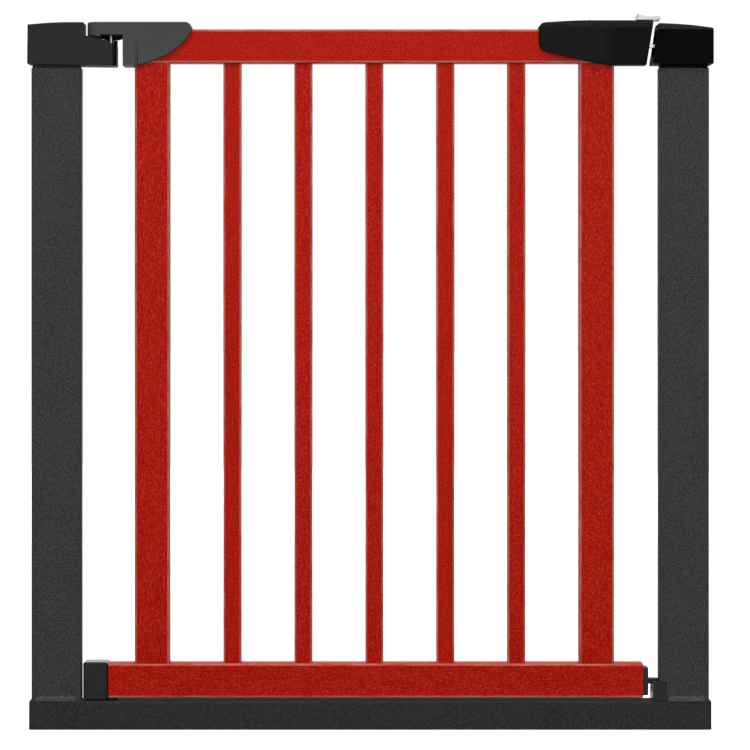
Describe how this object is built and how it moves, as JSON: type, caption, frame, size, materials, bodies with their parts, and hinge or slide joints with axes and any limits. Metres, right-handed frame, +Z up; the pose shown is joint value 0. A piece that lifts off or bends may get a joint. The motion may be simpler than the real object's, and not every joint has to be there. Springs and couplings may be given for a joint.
{
  "type": "safety baby gate",
  "caption": "Pressure-fit safety gate: a steel U-frame with a slatted wooden panel that lifts and swings on hinge pins, a thumb-slide latch and a floor catch.",
  "frame": {"origin": "on the floor, midway between the posts and midway through their depth", "axes": "+X from the hinge side to the lock side, +Y to the back, +Z up; the front faces -Y"},
  "size_m": [0.717, 0.032, 0.7486],
  "materials": {
    "frame_paint": "fine-textured powder coat",
    "black_plastic": "fine moulded texture",
    "charcoal_plastic": "fine moulded texture",
    "grey_plastic": "fine moulded texture",
    "gloss_black_plastic": "gloss",
    "red_wood": "stained and lacquered, satin",
    "light_grey_plastic": "satin",
    "zinc_steel": "zinc plated",
    "pin_steel": "polished"
  },
  "bodies": {
    "frame": {"left_post": "frame_paint", "right_post": "frame_paint", "bottom_bar": "frame_paint", "frame_welds": "frame_paint", "bar_end_plugs": "charcoal_plastic", "hinge_post_cap": "charcoal_plastic", "lock_post_cap": "black_plastic", "keeper_plate": "frame_paint", "post_cap_screws": "zinc_steel", "lower_spindle_bushes": "black_plastic", "lower_hinge_bush": "black_plastic", "catch_bracket": "black_plastic", "bracket_screws": "zinc_steel"},
    "hinge_pins": {"upper_hinge_pin": "pin_steel", "lower_hinge_pin": "pin_steel"},
    "gate": {"top_rail": "red_wood", "bottom_rail": "red_wood", "left_stile": "red_wood", "right_stile": "red_wood", "slat_1": "red_wood", "slat_2": "red_wood", "slat_3": "red_wood", "slat_4": "red_wood", "slat_5": "red_wood", "rail_hinge_sleeve": "zinc_steel", "gate_corner_cap": "grey_plastic", "hinge_block": "black_plastic", "corner_cap_screws": "zinc_steel", "hinge_end_cap": "gloss_black_plastic", "handle_front_shell": "black_plastic", "handle_rear_shell": "black_plastic", "handle_screws": "zinc_steel", "catch_plate": "black_plastic", "catch_plate_screws": "zinc_steel", "slider_spring": "zinc_steel"},
    "slider": {"thumb_slider": "light_grey_plastic", "latch_bolt": "zinc_steel"}
  },
  "joints": [
    {"name": "gate_lift", "type": "slide", "parent": "frame", "child": "hinge_pins", "axis": [0, 0, 1], "range_m": [0, 0.01]},
    {"name": "gate_swing", "type": "hinge", "parent": "hinge_pins", "child": "gate", "pos_m": [-0.272, 0, 0.36], "axis": [0, 0, 1], "range_deg": [-90, 90]},
    {"name": "slider_slide", "type": "slide", "parent": "gate", "child": "slider", "axis": [-1, 0, 0], "range_m": [0, 0.013], "stiffness_N_per_m": 250, "springref_m": -0.012, "deforming": ["slider_spring"]}
  ]
}
